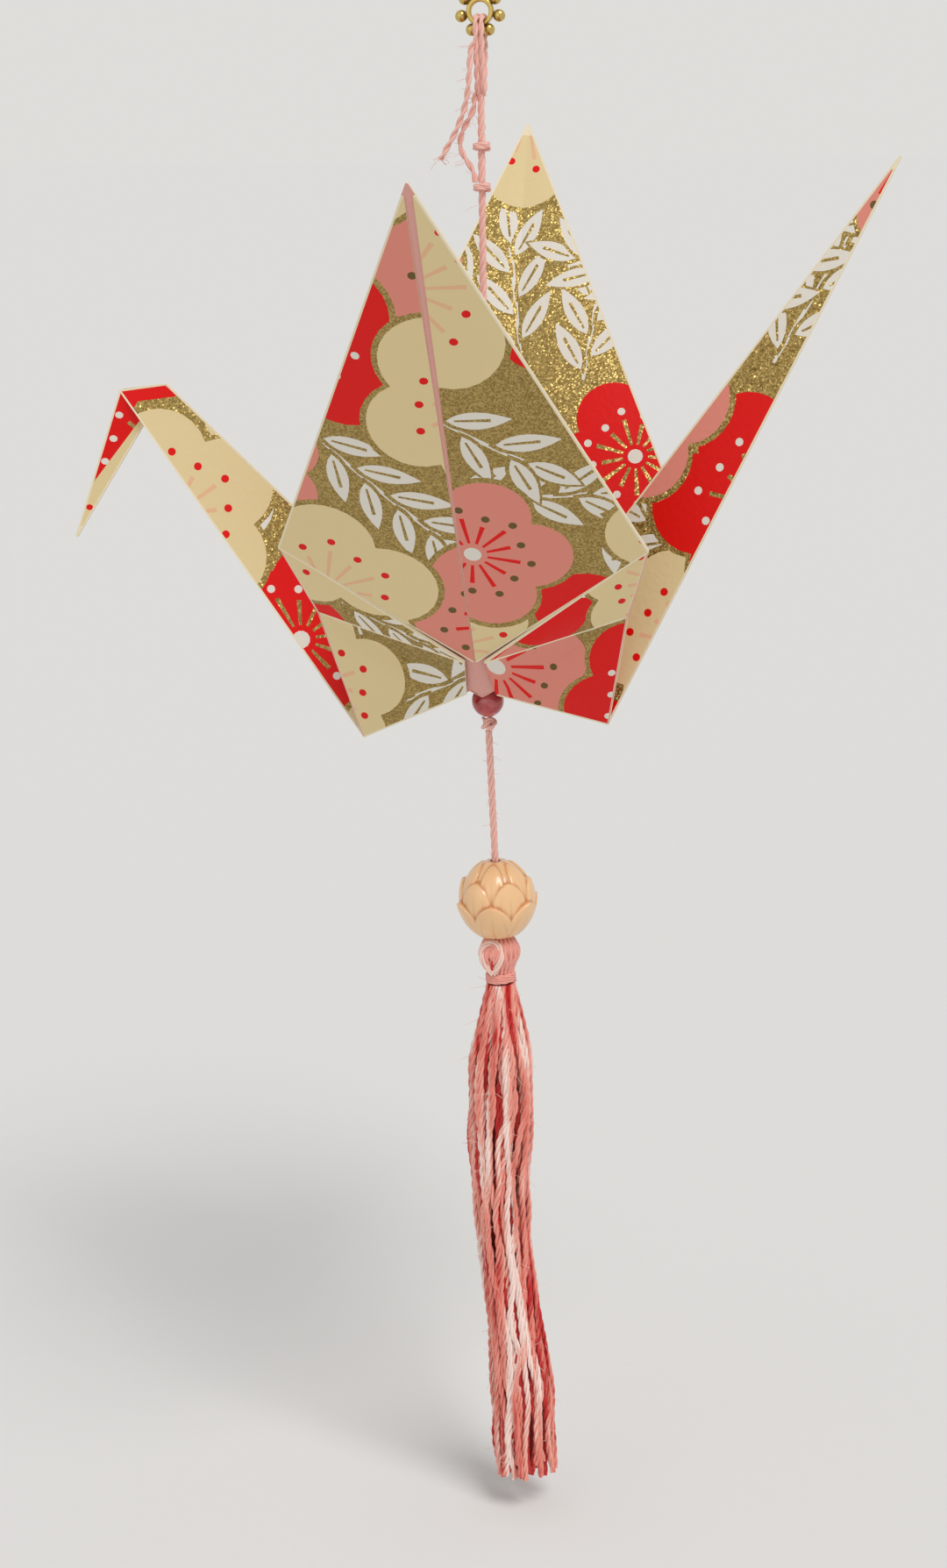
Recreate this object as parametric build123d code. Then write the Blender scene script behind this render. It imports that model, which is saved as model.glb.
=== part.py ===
from build123d import *
import math
import os

# Origami crane ornament: a folded paper crane on a thread, with beads and a tassel.
# Frame: origin at the centre of the hanging ring, Z up, neck towards -X, tail towards +X,
# front wing towards -Y. All sizes in millimetres, angles in degrees.

# Paper crane, folded from one 150 mm square
sheet = 0.30                # one wall of the folded paper, its layers pressed together
fold_edge = 0.21            # how far a wall runs past its fold line
layer_edge = 0.11           # the same for the doubled outer layer of a wing
centre_drop = 50.2          # from the ring down to the middle of the sheet
wing_length = 67.6          # from the pleats up to a wing's tip
corner_across = 21.0        # wing corner, from the wing's middle line
corner_up = 16.9            # wing corner, up along the wing from the pleats
wing_cup = 1.2              # how far each wing's edges stand behind its middle line
front_lean = 35.0           # front wing, from upright
back_lean = 26.0            # back wing
seam_top = 1.2              # gap between the raw edges on a wing's outer face, at the tip
seam_bottom = 0.4           # the same gap at the pleats
thread_hole = 1.4           # hole through the middle of the sheet
# Corners of a quarter of the body, as (across, outwards, up) from the middle of the sheet
wing_foot = Vector(0, 9.1, -23.2)
hinge_middle = Vector(0, 4.2, -28.4)
pleat_outer = Vector(18.0, 11.4, -17.3)
pleat_inner = Vector(1.3, 9.8, -23.2)
panel_lip = Vector(1.9, 4.9, -28.0)
leg_root = Vector(1.1, 0, -28.0)
neck_turn = Vector(14.8, 2.4, -34.0)
tail_turn = Vector(14.8, 2.4, -31.8)
leg_length = 77.2           # from the reverse fold to a leg's tip
neck_rise = 43.8            # spine of the neck, above level
tail_rise = 52.9            # spine of the tail, above level
neck_length = 51.8          # along the spine, up to the head fold
head_length = 21.8
head_dip = 56.9             # beak, below level
head_crease = 187.0         # direction of the head fold, from +X

# Ring and thread
thread = 0.9                # diameter of the plied thread
ring_outer = 1.6            # radius of the ring
ring_inner = 1.03           # radius of its hole
ring_width = 0.9            # along its axis
ring_edge = 0.2             # rounding of its rims
granule = 1.4               # diameter of each ball on the ring
granule_circle = 2.24       # radius on which the balls sit
granule_count = 7
strand = 0.72               # thread diameter where it is doubled through the ring
strand_pitch = 0.66         # between the two strands of the loop, pressed together
loop_top = 0.54             # loop's middle line, below the ring's centre
loop_half_width = 1.5
loop_bottom = 8.6
tie_width = 2.2
tie_height = 1.2
tie_bore = 0.94             # clears the thread that it is tied round
upper_tie = 15.6            # lower face of each knot on the thread, below the ring
lower_tie = 20.2
# middle lines of the two ends of the doubled thread, each by corners that are rounded:
# one hangs free beside the loop, the other bows out and is tied in again
loose_end = (
    (-1.05, -1.5, -4.2), (-1.05, -1.5, -6.9), (-1.5, -1.2, -10.0), (-2.7, -0.9, -13.2), (-4.7, -0.7, -16.4),
)
bowed_end = (
    (-0.81, 0, -9.4), (-0.81, 0, -10.9), (-2.5, 0, -13.6), (-2.5, 0, -15.6), (-0.81, 0, -17.8), (-0.81, 0, -18.98),
)

# Beads
red_bead = 3.9
bead_bore = 1.3
bead_below_lip = 1.90       # bead centre under the corners of the lower panels
knot_width = 2.2
knot_height = 1.8
drop_tilt = 2.2             # lean of the lower thread, to the right
drop_length = 16.3          # thread between the knot and the flower bead
flower_height = 9.2
flower_base = 2.2           # radius of the bead's body at its lower end
flower_body = 4.3           # at its widest
flower_mouth = 1.3          # at its upper end
petal_count = 6             # in each tier
petal_turn = 30.0           # a petal of the lowest tier faces -Y
# tiers of petals from below: height of the widest part, width, length to the tip, lift above the body
petal_tiers = ((1.1, 5.0, 3.5, 0.60), (3.3, 4.7, 3.9, 0.40), (5.4, 3.4, 3.6, 0.20))

# Tassel
head_width = 5.0
head_height = 4.8
band_width = 3.9
band_height = 1.6
band_turns = 3
skirt_length = 66.0
# the skirt's width, and how far its middle sways from the tilted line, at even steps down its length
skirt_widths = (3.6, 8.3, 8.1, 7.0, 6.9, 8.0, 7.9)
skirt_sways = (0, -0.6, -1.2, -1.5, -0.8, 0.1, 0)
strand_count = 20
groove_depth = 0.16         # between strands, as a part of the radius

centre = Vector(0, 0, -centre_drop)


def polar(angle, length):
    """A vector in the XZ plane, its angle from +X towards +Z."""
    return Vector(length * math.cos(math.radians(angle)), 0, length * math.sin(math.radians(angle)))


def panel(*points, edge=fold_edge, low=-sheet / 2, high=sheet / 2):
    """A flat wall of paper through the given corners, its own corners blunted."""
    normal = (points[1] - points[0]).cross(points[2] - points[0]).normalized()
    plane = Plane(origin=points[0], x_dir=points[1] - points[0], z_dir=normal)
    outline = []
    for before, corner, after in zip(points[-1:] + points[:-1], points, points[1:] + points[:1]):
        sides = [(corner - before).cross(normal).normalized(), (after - corner).cross(normal).normalized()]
        for away in (sides[0], (sides[0] + sides[1]).normalized(), sides[1]):
            local = plane.to_local_coords(corner + away * edge)
            outline.append((local.X, local.Y))
    return plane.offset(low) * extrude(make_face(Polyline(outline, close=True)), high - low)


def quarter(side, front, lean, turn):
    """Corner points of one quarter of the crane; side and front are +1 or -1."""
    def place(v):
        return centre + Vector(side * v.X, -front * v.Y, v.Z)

    tilt = math.radians(lean)
    along = Vector(0, math.sin(tilt), math.cos(tilt))
    inward = Vector(0, -math.cos(tilt), math.sin(tilt))
    corner = wing_foot + along * corner_up + inward * wing_cup + Vector(corner_across, 0, 0)
    return {
        "tip": place(wing_foot + along * wing_length),
        "corner": place(corner),
        "foot": place(wing_foot),
        "hinge": place(hinge_middle),
        "pleat": place(pleat_outer),
        "inner": place(pleat_inner),
        "lip": place(panel_lip),
        "turn": place(turn),
        "root": place(leg_root),
    }


def outer_layer(q):
    """Half of a wing's doubled outer face, stopped short of the middle line by half the seam."""
    top = q["tip"] + (q["corner"] - q["tip"]) * (seam_top / 2 / corner_across)
    low = q["foot"] + (q["corner"] - q["foot"]) * (seam_bottom / 2 / corner_across)
    facing = (q["corner"] - low).cross(top - low).Y
    outward = facing * q["tip"].Y > 0
    layer = (0, sheet) if outward else (-sheet, 0)
    return panel(low, q["corner"], top, edge=layer_edge, low=layer[0], high=layer[1])


def quarter_panels(q):
    """The walls of one quarter, from the wing's tip down to the reverse fold."""
    return [
        panel(q["tip"], q["corner"], q["foot"]),
        outer_layer(q),
        panel(q["foot"], q["corner"], q["hinge"]),
        panel(q["corner"], q["pleat"], q["hinge"]),
        panel(q["corner"], q["inner"], q["pleat"]),
        panel(q["pleat"], q["inner"], q["lip"]),
        panel(q["pleat"], q["lip"], q["turn"]),
        panel(centre, q["pleat"], q["hinge"]),
        panel(centre, q["pleat"], q["root"]),
        panel(q["pleat"], q["turn"], q["root"]),
    ]


def tail_walls(front, back):
    """The tail: two walls that meet in a closed spine and stay open below."""
    tip = front["root"] + polar(tail_rise, leg_length)
    return [panel(q["root"], q["turn"], tip) for q in (front, back)]


def neck_walls(front, back):
    """The neck up to the head fold, then the head reversed down to the beak."""
    root = front["root"]
    tip = root + polar(180 - neck_rise, leg_length)
    nape = root + polar(180 - neck_rise, neck_length)
    beak = nape + polar(180 + head_dip, head_length)
    crease = polar(head_crease, 1)
    walls = []
    for q in (front, back):
        turn = q["turn"]
        edge = tip - turn
        away = nape - turn
        share = (away.X * crease.Z - away.Z * crease.X) / (edge.X * crease.Z - edge.Z * crease.X)
        crown = turn + edge * share
        walls.append(panel(root, turn, crown, nape))
        walls.append(panel(nape, crown, beak))
    return walls


def paper_crane():
    q = {}
    for side, turn in ((-1, neck_turn), (1, tail_turn)):
        for front, lean in ((1, front_lean), (-1, back_lean)):
            q[side, front] = quarter(side, front, lean, turn)
    walls = []
    for corners in q.values():
        walls += quarter_panels(corners)
    walls += neck_walls(q[-1, 1], q[-1, -1])
    walls += tail_walls(q[1, 1], q[1, -1])
    crane = walls[0].fuse(*walls[1:])
    return crane - Pos(centre) * Cylinder(thread_hole / 2, 2 * leg_length)


def hang_ring():
    """Cast spacer ring with a row of balls round it; its axis lies along Y."""
    ring = Cylinder(ring_outer, ring_width) - Cylinder(ring_inner, 2 * ring_width)
    ring = fillet(ring.edges().filter_by(GeomType.CIRCLE), ring_edge)
    step = 360 / granule_count
    for i in range(granule_count):
        ring += Rot(0, 0, 90 + i * step) * Pos(granule_circle, 0, 0) * Sphere(granule / 2)
    return Rot(90, 0, 0) * ring


def thread_loop():
    """Closed loop of doubled thread round the lower rim of the ring."""
    upper = -loop_top - loop_half_width
    lower = -loop_bottom + loop_half_width
    with BuildLine(Plane.YZ) as path:
        Line((loop_half_width, lower), (loop_half_width, upper))
        CenterArc((0, upper), loop_half_width, 0, 180)
        Line((-loop_half_width, upper), (-loop_half_width, lower))
        CenterArc((0, lower), loop_half_width, 180, 180)
    start = Plane(origin=(0, loop_half_width, lower), z_dir=(0, 0, 1))
    pair = Pos(-strand_pitch / 2, 0) * Circle(strand / 2) + Pos(strand_pitch / 2, 0) * Circle(strand / 2)
    return sweep(start * pair, path=path.line)


def thread_end(corners):
    """A length of thread along the given corners, each rounded as far as the runs beside it allow."""
    points = [Vector(*p) for p in corners]
    radii = []
    for a, b, c in zip(points, points[1:], points[2:]):
        turn = (b - a).get_angle(c - b)
        shorter = min((b - a).length, (c - b).length)
        radii.append(0.45 * shorter / math.tan(math.radians(turn / 2)))
    path = FilletPolyline(*points, radius=radii)
    start = Plane(origin=path @ 0, z_dir=path % 0)
    return sweep(start * Circle(strand / 2), path=path)


def rounded_turns(width, height, turns, bore):
    """Turns of thread laid side by side round the Z axis, from z = 0 up."""
    rise = height / turns
    inner = bore / 2
    outer = (width - rise) / 2
    profile = Pos((inner + outer) / 2, height / 2) * Rectangle(outer - inner, height)
    for i in range(turns):
        profile += Pos(outer, rise * (i + 0.5)) * Circle(rise / 2)
    return revolve(Plane.XZ * profile, Axis.Z)


def bead(width, bore):
    return Sphere(width / 2) - Cylinder(bore / 2, 2 * width)


def flower_profile(lift):
    """Half outline of the flower bead, its lower end on z = 0."""
    with BuildSketch(Plane.XZ) as sketch:
        with BuildLine():
            foot = (flower_base + lift, 0)
            top = (flower_mouth + lift, flower_height)
            Line((0, 0), foot)
            ThreePointArc(foot, (flower_body + lift, 0.45 * flower_height), top)
            Line(top, (0, flower_height))
            Line((0, flower_height), (0, 0))
        make_face()
    return sketch.sketch


def petal_cutter(width, length):
    """A petal outline, pointed above and below its widest part, carried out from the axis along +X."""
    radius = (length**2 + width**2 / 4) / width
    shift = radius - width / 2
    outline = (Pos(shift, 0) * Circle(radius)) & (Pos(-shift, 0) * Circle(radius))
    return extrude(Plane.YZ * outline, 2 * flower_body)


def flower_bead():
    """Carved lotus: three tiers of petals that point up, each tier lower on the body and further out."""
    step = 360 / petal_count
    petals = []
    for tier, (height, width, length, lift) in enumerate(petal_tiers):
        shell = revolve(flower_profile(lift), Axis.Z)
        cutter = petal_cutter(width, length)
        for i in range(petal_count):
            place = Pos(0, 0, height) * Rot(0, 0, petal_turn + (i + tier / 2) * step)
            petals.append((place * cutter) & shell)
    body = revolve(flower_profile(0), Axis.Z).fuse(*petals)
    return body - Cylinder(bead_bore / 2, 4 * flower_height)


def lobed(width):
    """Section of a bundle of strands: a ridge for each strand and a groove between."""
    points = []
    for i in range(2 * strand_count):
        radius = width / 2 * (1 - groove_depth * (i % 2))
        angle = math.radians(i * 180 / strand_count)
        points.append((radius * math.cos(angle), radius * math.sin(angle)))
    return make_face(Polyline(points, close=True))


def bundle(widths, sways, length):
    """Strands gathered to the given widths and places along X, evenly spaced down from z = 0."""
    step = length / (len(widths) - 1)
    sections = [Pos(x, 0, -i * step) * lobed(w) for i, (w, x) in enumerate(zip(widths, sways))]
    return loft(sections, ruled=True)


def tassel_head():
    """Looped top of the tassel: strands that bulge over the band."""
    shape = (0.55, 0.94, 1.0, 0.9, 0.66)
    return bundle([head_width * s for s in shape], [0] * len(shape), head_height)


def build():
    parts = {"paper_crane": paper_crane(), "hang_ring": hang_ring(), "thread_loop": thread_loop()}
    parts["loose_thread_end"] = thread_end(loose_end)
    parts["bowed_thread_end"] = thread_end(bowed_end)
    bead_z = centre.Z + panel_lip.Z - bead_below_lip
    # the tilted knot bears on one side of the bead's lower rim
    tilt = math.tan(math.radians(drop_tilt))
    knot_top = bead_z - math.sqrt(red_bead**2 - bead_bore**2) / 2 - bead_bore / 2 * tilt
    top = -loop_bottom - strand / 2
    length = top - knot_top - thread / 2 * tilt
    parts["hanging_thread"] = Pos(0, 0, top - length / 2) * Cylinder(thread / 2, length)
    tie = rounded_turns(tie_width, tie_height, 2, tie_bore)
    parts["upper_tie_knot"] = Pos(0, 0, -upper_tie) * tie
    parts["lower_tie_knot"] = Pos(0, 0, -lower_tie) * tie
    parts["red_bead"] = Pos(0, 0, bead_z) * bead(red_bead, bead_bore)
    # everything under the bead hangs along one slightly tilted line
    drop = Pos(0, 0, knot_top) * Rot(0, -drop_tilt, 0)
    parts["bead_knot"] = drop * Pos(0, 0, -knot_height) * rounded_turns(knot_width, knot_height, 2, 0)
    flower_z = -knot_height - drop_length - flower_height
    thread_run = drop_length + flower_height
    parts["drop_thread"] = drop * Pos(0, 0, -knot_height - thread_run / 2) * Cylinder(thread / 2, thread_run)
    parts["flower_bead"] = drop * Pos(0, 0, flower_z) * flower_bead()
    parts["tassel_head"] = drop * Pos(0, 0, flower_z) * tassel_head()
    band_z = flower_z - head_height - band_height
    parts["tassel_band"] = drop * Pos(0, 0, band_z) * rounded_turns(band_width, band_height, band_turns, 0)
    parts["tassel_skirt"] = drop * Pos(0, 0, band_z) * bundle(skirt_widths, skirt_sways, skirt_length)
    return parts


os.makedirs("parts", exist_ok=True)
for name, shape in build().items():
    solids = shape.solids()
    print(name, "solids", len(solids), "volume", round(shape.volume, 2), "valid", shape.is_valid)
    export_step(shape, f"parts/{name}.step")
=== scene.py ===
import math
import random

import bpy
import numpy as np
from mathutils import Matrix, Vector
from mathutils.geometry import delaunay_2d_cdt


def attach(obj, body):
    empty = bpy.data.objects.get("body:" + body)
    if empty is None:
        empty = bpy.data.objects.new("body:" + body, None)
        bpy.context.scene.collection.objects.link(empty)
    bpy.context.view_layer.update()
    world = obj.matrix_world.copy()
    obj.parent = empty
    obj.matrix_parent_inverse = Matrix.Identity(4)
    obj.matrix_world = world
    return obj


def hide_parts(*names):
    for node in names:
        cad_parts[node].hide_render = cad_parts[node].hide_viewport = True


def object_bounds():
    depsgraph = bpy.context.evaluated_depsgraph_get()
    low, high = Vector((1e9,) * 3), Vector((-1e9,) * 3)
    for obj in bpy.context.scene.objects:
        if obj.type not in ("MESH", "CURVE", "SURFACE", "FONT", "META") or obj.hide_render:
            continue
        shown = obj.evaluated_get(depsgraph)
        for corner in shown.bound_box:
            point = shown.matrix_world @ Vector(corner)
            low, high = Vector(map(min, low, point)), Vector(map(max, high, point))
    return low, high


# Origami crane ornament, dressed over its solids. Sizes are in millimetres and are
# turned into metres where a mesh is made; the frame is the one of the solids, with
# the hanging ring at the origin, the neck towards -X and the front wing towards -Y.

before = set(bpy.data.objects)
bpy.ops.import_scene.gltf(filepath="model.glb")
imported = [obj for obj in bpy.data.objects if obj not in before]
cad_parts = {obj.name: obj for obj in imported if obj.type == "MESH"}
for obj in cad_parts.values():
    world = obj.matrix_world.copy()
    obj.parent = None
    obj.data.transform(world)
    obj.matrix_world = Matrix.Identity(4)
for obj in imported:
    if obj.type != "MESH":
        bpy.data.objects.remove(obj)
cad_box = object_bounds()
MM = 0.001

# Crane: corner points as (across, outwards, up) from the middle of the sheet
CENTRE = Vector((0, 0, -50.2))
WING_LENGTH = 67.6
CORNER_ACROSS = 21.0
CORNER_UP = 16.9
WING_CUP = 1.2
FRONT_LEAN = 35.0
BACK_LEAN = 26.0
SEAM_TOP = 1.2
SEAM_BOTTOM = 0.4
WING_FOOT = Vector((0, 9.1, -23.2))
HINGE_MIDDLE = Vector((0, 4.2, -28.4))
PLEAT_OUTER = Vector((18.0, 11.4, -17.3))
PLEAT_INNER = Vector((1.3, 9.8, -23.2))
PANEL_LIP = Vector((1.9, 4.9, -28.0))
LEG_ROOT = Vector((1.1, 0, -28.0))
NECK_TURN = Vector((14.8, 2.4, -34.0))
TAIL_TURN = Vector((14.8, 2.4, -31.8))
LEG_LENGTH = 77.2
NECK_RISE = 43.8
TAIL_RISE = 52.9
NECK_LENGTH = 51.8
HEAD_LENGTH = 21.8
HEAD_DIP = 56.9
HEAD_CREASE = 187.0
LAYER = 0.15                # one layer of the folded paper
FOLD_EDGE = 0.15            # how far a layer runs past its fold line
GRID = 2.6                  # spacing of the points that let a panel swell
FOLD_HIGHLIGHT = 0.22                 # width of the pale line of painted highlight along a fold
CUT_TOLERANCE = 1e-4        # points of the print nearer than this are one point
SHARP_FOLD = 35.0           # degrees, past which a crease is shaded sharp

# The same corners on the flat sheet, in millimetres from its middle:
# (towards the tail, towards the front wing's corner of the square)
HALF_DIAGONAL = 150 / math.sqrt(2)
FLAT = {
    "outer": {"tip": (0, HALF_DIAGONAL), "corner": (21.0, 55.4), "foot": (47.8, 58.3)},
    "inner": {"tip": (0, HALF_DIAGONAL), "corner": (21.0, 55.4), "foot": (0, 38.5), "hinge": (0, 31.1),
              "pleat": (17.6, 44.5)},
    "strip": {"corner": (21.0, 55.4), "inner": (31.1, 31.1), "pleat": (17.6, 44.5)},
    "flap": {"pleat": (17.6, 17.6), "inner": (31.1, 31.1), "lip": (34.8, 29.5), "turn": (34.5, 14.2)},
    "hump": {"centre": (0, 0), "pleat": (17.6, 17.6), "hinge": (0, 31.1), "root": (28.9, 0),
             "turn": (34.5, 14.2)},
    "leg": {"root": (28.9, 0), "turn": (34.5, 14.2), "tip": (HALF_DIAGONAL, 0), "nape": (80.7, 0)},
    "head": {"nape": (82.6, 9.7), "beak": (HALF_DIAGONAL, 0)},
}

# Print: blossoms as (u, v, radius, turn, ink) and leaf sprigs as (u, v, direction, length)
OUTLINE = 0.75              # width of a blossom's gold outline
PETAL_OUT = 0.56            # a petal's circle: its distance from the middle and its radius,
PETAL_ROUND = 0.44          # as parts of the blossom's radius
BLOSSOMS = (
    (31.0, -30.0, 11.5, 20, "pink"), (28.0, -9.0, 13.0, 50, "red"), (-12.5, -47.0, 9.0, 36, "red"),
    (-14.0, -103.5, 15.0, 0, "pink"), (-10.5, -63.0, 9.5, 0, "pink"), (-3.0, -80.0, 14.0, 8, "red"),
    (-23.5, -89.5, 13.5, 30, "cream"),
    (-46.5, -66.0, 13.0, 12, "pink"), (-28.7, -54.3, 13.5, -16, "cream"), (10.6, -98.6, 14.3, 38, "cream"),
    (48.0, -62.0, 11.5, 0, "cream"), (32.5, -47.5, 13.0, 18, "red"), (34.4, -69.6, 11.3, 25, "pink"),
    (16.5, -51.5, 11.0, 40, "cream"), (47.5, -15.5, 11.5, 18, "cream"), (66.0, -12.5, 13.5, 18, "red"),
    (66.0, 8.2, 12.0, 54, "pink"), (107.2, 0.0, 12.0, 36, "pink"),
    (-48.0, -11.0, 12.0, 12, "red"),
    (-90.0, 6.6, 13.0, 19.5, "red"), (-92.4, -10.3, 13.0, 9.5, "red"), (-70.0, 10.0, 11.0, 0, "cream"),
    (-69.3, -10.8, 13.0, 38, "cream"), (-26.0, -12.0, 12.0, 5, "cream"), (-107.0, 0.0, 9.5, 36, "cream"),
    (0.0, -24.0, 11.0, 0, "pink"), (0.0, 4.0, 10.0, 15, "red"),
    (26.0, 26.0, 12.5, 5, "cream"), (-26.0, 24.0, 12.0, 25, "pink"), (-4.0, 60.0, 12.0, 30, "cream"),
    (16.0, 61.0, 10.5, 12, "red"), (0.0, 107.0, 12.5, 18, "cream"), (-15.0, 82.0, 10.0, 18, "pink"),
    (-38.0, 64.0, 12.0, 40, "red"), (36.0, 68.0, 12.0, 8, "pink"), (48.0, 46.0, 11.0, 22, "cream"),
    (0.0, 32.0, 9.0, 20, "red"), (-52.0, 16.0, 11.0, 14, "pink"), (-64.0, 30.0, 11.0, 0, "cream"),
    (66.0, 30.0, 11.0, 16, "red"),
)
SPRIGS = (
    (-13.0, -72.5, 176, 20), (29.4, -77.1, 134, 16), (22.0, -85.5, 102, 12), (-33.0, -32.0, 85, 11),
    (-22.0, -46.5, 120, 14), (20.0, -64.0, 80, 10), (-14.0, -62.0, 60, 12), (2.0, -62.0, 120, 12),
    (79.5, -3.0, 7, 18), (80.0, 3.6, -8, 18), (58.0, -14.0, 100, 12), (-58.0, -8.0, 150, 14),
    (-40.0, 0.0, 170, 12), (1.0, 73.0, 98, 17), (9.0, 71.0, 84, 19), (-8.0, 92.0, 250, 16),
    (24.0, 50.0, 60, 14), (-22.0, 46.0, 110, 14), (12.0, 14.0, 40, 14), (-12.0, 10.0, 150, 14),
    (-10.0, -12.0, 230, 12), (12.0, -14.0, 300, 14), (-30.0, 78.0, 30, 14), (22.0, 82.0, 160, 16),
    (-56.0, -2.0, 20, 10), (-50.0, 34.0, 60, 14), (52.0, 26.0, 20, 12),
    (9.0, 40.0, 40, 10), (-8.0, 40.0, 140, 10), (29.0, 6.0, 60, 10), (-33.0, 3.0, 120, 10),
    (2.0, -44.0, 60, 10), (-6.0, 16.0, 80, 9), (41.0, 14.0, 60, 10), (-42.0, 24.0, 100, 10),
)
# Fields on the head: the red crest, the pale far layer of paper at the beak, and a dot on it
CREST = ((-81.3, 1.8), (-86.0, -4.2), (-83.6, -6.1), (-78.9, -0.2))
BEAK_LINING = ((-82.6, -9.7), (-98.0, -1.6), (-107.0, 0.9), (-107.0, -4.0), (-94.0, -9.0))
BEAK_DOT = (-101.6, -1.35, 0.45)
PALE_TIP = 1.7              # pale spot at each of the sheet's corners
STAMENS = 13
STAMEN_INKS = {"pink": ("red", "old_gold"), "cream": ("blush", "red"), "red": ("gold", "white")}

# Threads
THREAD = 0.9
STRAND = 0.72
STRAND_PITCH = 0.66
LOOP_BOTTOM = 8.6
LOOP_ROUTE = ((0.95, -6.6), (1.62, -1.3), (0.66, -0.54), (-0.66, -0.54), (-1.62, -1.3), (-0.95, -6.6),
              (-0.36, -9.1), (0.36, -9.1))  # (y, z) of each strand, into the top of the hanging thread
TIE_WIDTH = 2.2
TIE_HEIGHT = 1.2
UPPER_TIE = 15.6
LOWER_TIE = 20.2
LOOSE_END = ((-1.05, -1.5, -4.2), (-1.05, -1.5, -6.9), (-1.5, -1.2, -10.0), (-2.7, -0.9, -13.2),
             (-4.7, -0.7, -16.4))
BOWED_END = ((-0.81, 0, -9.4), (-0.81, 0, -10.9), (-2.5, 0, -13.6), (-2.5, 0, -15.6), (-0.81, 0, -17.8),
             (-0.81, 0, -18.98))
LOOSE_TUCK = (-0.45, -1.5, -3.4)  # where each end is tucked in beside the loop
BOWED_TUCK = (-0.3, 0.0, -8.8)
WOUND_INSET = 0.3           # half the thickness of a wound thread or a strand of the tassel
KNOT_INSET = 0.38           # the same for the bead's knot, at its two ends
THREAD_FIBRES = {"count": 90, "radius": THREAD / 2, "reach": 1.6}
END_FIBRES = {"count": 16, "radius": STRAND / 2, "reach": 1.4}
SKIRT_FIBRES = {"count": 160, "radius": STRAND / 2, "reach": 2.2}
QUARTERS = (0, 0.25, 0.5, 0.75, 1.0)

# Beads
BEAD_BELOW_LIP = 1.90
RED_BEAD = 3.9
BEAD_BORE = 1.3
DROP_TILT = 2.2
KNOT_WIDTH = 2.2
KNOT_HEIGHT = 1.8
DROP_LENGTH = 16.3
FLOWER_HEIGHT = 9.2
FLOWER_BASE = 2.2
FLOWER_BODY = 4.3
FLOWER_MOUTH = 1.3
PETAL_COUNT = 6
PETAL_TURN = 30.0
PETAL_TIERS = ((1.1, 5.0, 3.5, 0.60), (3.3, 4.7, 3.9, 0.40), (5.4, 3.4, 3.6, 0.20))

# Tassel
HEAD_WIDTH = 5.0
HEAD_HEIGHT = 4.8
BAND_WIDTH = 3.9
BAND_HEIGHT = 1.6
SKIRT_LENGTH = 66.0
SKIRT_WIDTHS = (3.6, 8.3, 8.1, 7.0, 6.9, 8.0, 7.9)
SKIRT_SWAYS = (0, -0.6, -1.2, -1.5, -0.8, 0.1, 0)
SKIRT_DRIFT = 1.3           # radians that a strand may wander round the tassel
SKIRT_UNEVEN = 0.045        # how much shorter a strand may be, as a part of the length
HEAD_STRANDS = 20
HEAD_SHAPE = ((0.0, 0.30), (0.12, 0.64), (0.35, 0.86), (0.60, 0.82), (0.85, 0.60), (1.0, 0.52))
HEAD_TWIST = 0.25
HEAD_INSET = 0.3            # the strands start this far below the bead
# Loops on the front of the head as (width, height, across, front, foot), the foot below the bead
HEAD_LOOP = (2.5, 4.0, -0.7, -1.75, 4.7)
HEAD_FOLDS = ((1.5, 2.5, -0.7, -1.75, 3.6), (0.5, 1.3, -0.7, -1.8, 2.9))
HEART_TOP = Vector((-0.72, -2.15, -2.3))
HEART_FOOT = Vector((-0.72, -1.85, -4.1))

# Camera, fitted to the photograph's frame
IMAGE_HEIGHT = 1788
FOCAL_PIXELS = 3134.8
CAMERA_AZIMUTH = 9.24
CAMERA_ELEVATION = 13.55
CAMERA_ROLL = -0.72
CAMERA_DISTANCE = 312.7
CAMERA_RIGHT = 0.75
CAMERA_UP = 87.9


def placed(name, data):
    """An object at the origin of the scene."""
    holder = bpy.data.objects.new(name, data)
    bpy.context.scene.collection.objects.link(holder)
    return holder


def srgb(red, green, blue):
    """Linear colour of an 8-bit screen colour."""
    return tuple((c / 255) ** 2.2 for c in (red, green, blue)) + (1.0,)


def finish_shader(name, roughness, colour=None, **sockets):
    """A material with one principled shader; returns the material, its tree and the shader."""
    material = bpy.data.materials.new(name)
    material.use_nodes = True
    shader = material.node_tree.nodes["Principled BSDF"]
    shader.inputs["Roughness"].default_value = roughness
    if colour:
        shader.inputs["Base Color"].default_value = colour
    for socket, value in sockets.items():
        shader.inputs[socket.replace("_", " ")].default_value = value
    return material, material.node_tree, shader


def feed(tree, socket, value):
    """Links another node's socket to this one, or gives it a plain value."""
    if isinstance(value, bpy.types.NodeSocket):
        tree.links.new(value, socket)
    else:
        socket.default_value = value


def vector_math(tree, operation, first, second=None, scale=None):
    """A vector operation on sockets or plain vectors; returns the node's outputs."""
    node = tree.nodes.new("ShaderNodeVectorMath")
    node.operation = operation
    for key, value in ((0, first), (1, second), ("Scale", scale)):
        if value is not None:
            feed(tree, node.inputs[key], value)
    return node.outputs


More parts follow.
